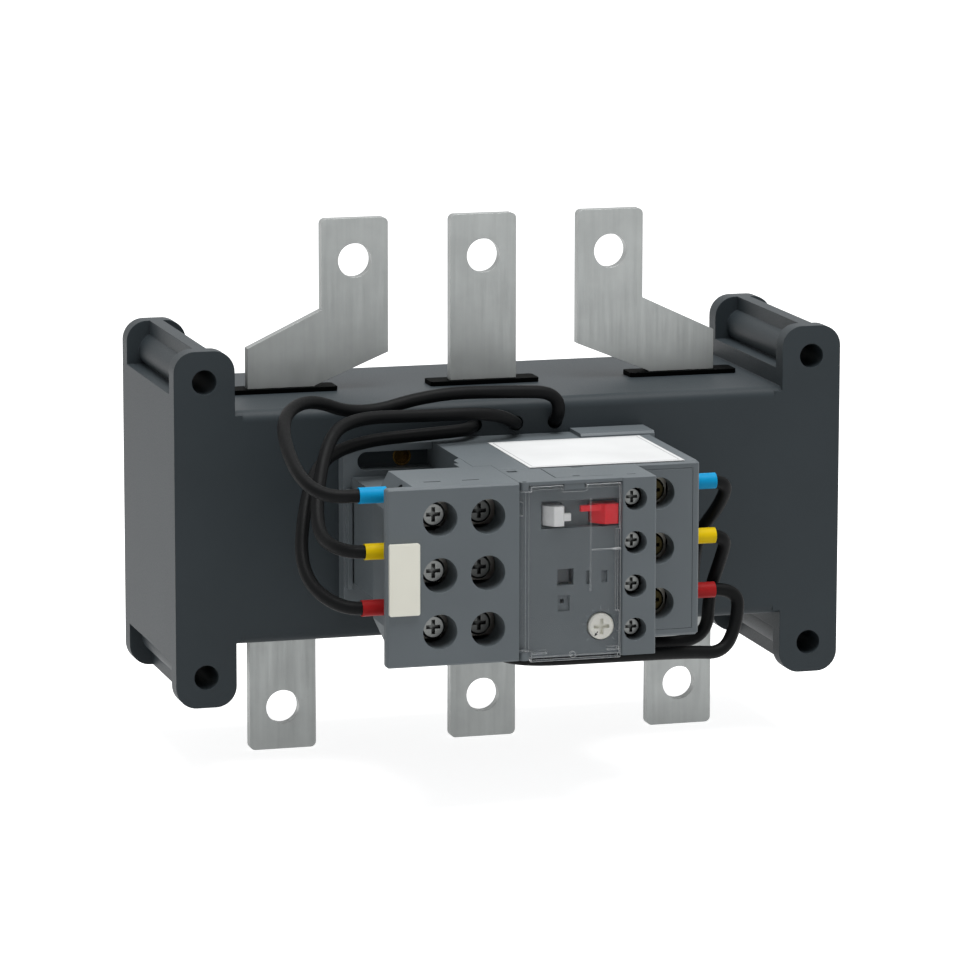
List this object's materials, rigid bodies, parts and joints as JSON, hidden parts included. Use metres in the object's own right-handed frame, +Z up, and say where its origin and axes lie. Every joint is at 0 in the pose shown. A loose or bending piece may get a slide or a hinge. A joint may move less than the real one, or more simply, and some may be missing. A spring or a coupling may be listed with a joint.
{
  "type": "thermal overload relay",
  "caption": "Thermal overload relay on a through-busbar current-transformer block, with clear hinged cover, setting dial, reset and stop buttons and looped secondary leads.",
  "frame": {"origin": "centre of the flat rear face that lies on the mounting panel", "axes": "+X to the right seen from the front, +Y backwards into the panel, +Z up along the busbars"},
  "size_m": [0.18, 0.1303, 0.1407],
  "materials": {
    "block_plastic": "moulded, fine texture, satin",
    "bushing_plastic": "moulded, satin",
    "bar_metal": "tin-plated copper, satin",
    "core_iron": "laminated strip, dull",
    "copper_winding": "enamelled copper",
    "bobbin_plastic": "moulded",
    "relay_plastic": "moulded, fine texture, satin",
    "marker_plastic": "smooth",
    "screw_bright": "zinc-plated",
    "screw_dark": "dull zinc-plated",
    "clamp_metal": "zinc-plated",
    "link_metal": "tin-plated copper",
    "insert_brass": "turned",
    "clear_plastic": "clear, polished",
    "button_white": "smooth",
    "button_red": "smooth",
    "dial_plastic": "smooth",
    "label_film": "blank printed-label film",
    "bimetal_strip": "rolled bimetal",
    "heater_ribbon": "heat-tinted resistance ribbon",
    "slider_plastic": "moulded",
    "rocker_plastic": "moulded",
    "pin_steel": "ground",
    "contact_metal": "spring bronze with silver rivet",
    "wire_black": "extruded insulation, satin",
    "sleeve_blue": "soft tube",
    "sleeve_yellow": "soft tube",
    "sleeve_red": "soft tube"
  },
  "bodies": {
    "main": {"ct_housing": "block_plastic", "ct_back_cover": "block_plastic", "back_cover_screws": "screw_bright", "threaded_inserts": "insert_brass", "busbar_left": "bar_metal", "busbar_middle": "bar_metal", "busbar_right": "bar_metal", "top_bushings": "bushing_plastic", "bottom_bushings": "bushing_plastic", "core_left": "core_iron", "core_middle": "core_iron", "core_right": "core_iron", "winding_left": "copper_winding", "winding_middle": "copper_winding", "winding_right": "copper_winding", "winding_bobbins": "bobbin_plastic", "adapter_housing": "relay_plastic", "marker_plate": "marker_plastic", "adapter_plate": "relay_plastic", "adapter_plate_screw": "screw_bright", "link_bars": "link_metal", "wire_side_screws": "screw_bright", "pin_side_screws": "screw_bright", "relay_pins": "link_metal", "relay_base": "relay_plastic", "main_terminal_plate": "relay_plastic", "relay_mount_screws": "screw_bright", "relay_face": "relay_plastic", "label_plate": "label_film", "aux_screws": "screw_bright", "aux_clamps": "clamp_metal", "main_screws": "screw_dark", "main_clamps": "clamp_metal", "bimetal_blue": "bimetal_strip", "bimetal_yellow": "bimetal_strip", "bimetal_red": "bimetal_strip", "heater_coils": "heater_ribbon", "rocker_pin": "pin_steel", "compensating_strip": "bimetal_strip", "contact_leaves": "contact_metal", "wire_left_blue": "wire_black", "sleeve_left_blue": "sleeve_blue", "wire_right_blue": "wire_black", "sleeve_right_blue": "sleeve_blue", "wire_left_yellow": "wire_black", "sleeve_left_yellow": "sleeve_yellow", "wire_right_yellow": "wire_black", "sleeve_right_yellow": "sleeve_yellow", "wire_left_red": "wire_black", "sleeve_left_red": "sleeve_red", "wire_right_red": "wire_black", "sleeve_right_red": "sleeve_red"},
    "cover": {"clear_cover": "clear_plastic"},
    "reset": {"reset_button": "button_white"},
    "stop": {"stop_button": "button_red"},
    "dial": {"setting_dial": "dial_plastic"},
    "slider": {"trip_slider": "slider_plastic"},
    "rocker": {"trip_rocker": "rocker_plastic"}
  },
  "joints": [
    {"name": "cover_hinge", "type": "hinge", "parent": "main", "child": "cover", "pos_m": [-0.0167, -0.1281, -0.0012], "axis": [0, 0, -1], "range_deg": [0, 100]},
    {"name": "reset_push", "type": "slide", "parent": "main", "child": "reset", "axis": [0, 1, 0], "range_m": [0, 0.0015], "stiffness_N_per_m": 300},
    {"name": "stop_push", "type": "slide", "parent": "main", "child": "stop", "axis": [0, 1, 0], "range_m": [0, 0.0015], "stiffness_N_per_m": 300},
    {"name": "dial_turn", "type": "hinge", "parent": "main", "child": "dial", "pos_m": [0.0036, -0.127, -0.0164], "axis": [0, 1, 0], "range_deg": [-135, 135]},
    {"name": "slider_shift", "type": "slide", "parent": "main", "child": "slider", "axis": [0, 0, -1], "range_m": [0, 0.0015], "stiffness_N_per_m": 200},
    {"name": "rocker_turn", "type": "hinge", "parent": "main", "child": "rocker", "pos_m": [-0.0056, -0.112, -0.0035], "axis": [1, 0, 0], "range_deg": [-7.5, 0]}
  ],
  "couplings": [
    {"joint": "rocker_turn", "follows": "slider_shift", "rad_per_m": -83.333}
  ]
}
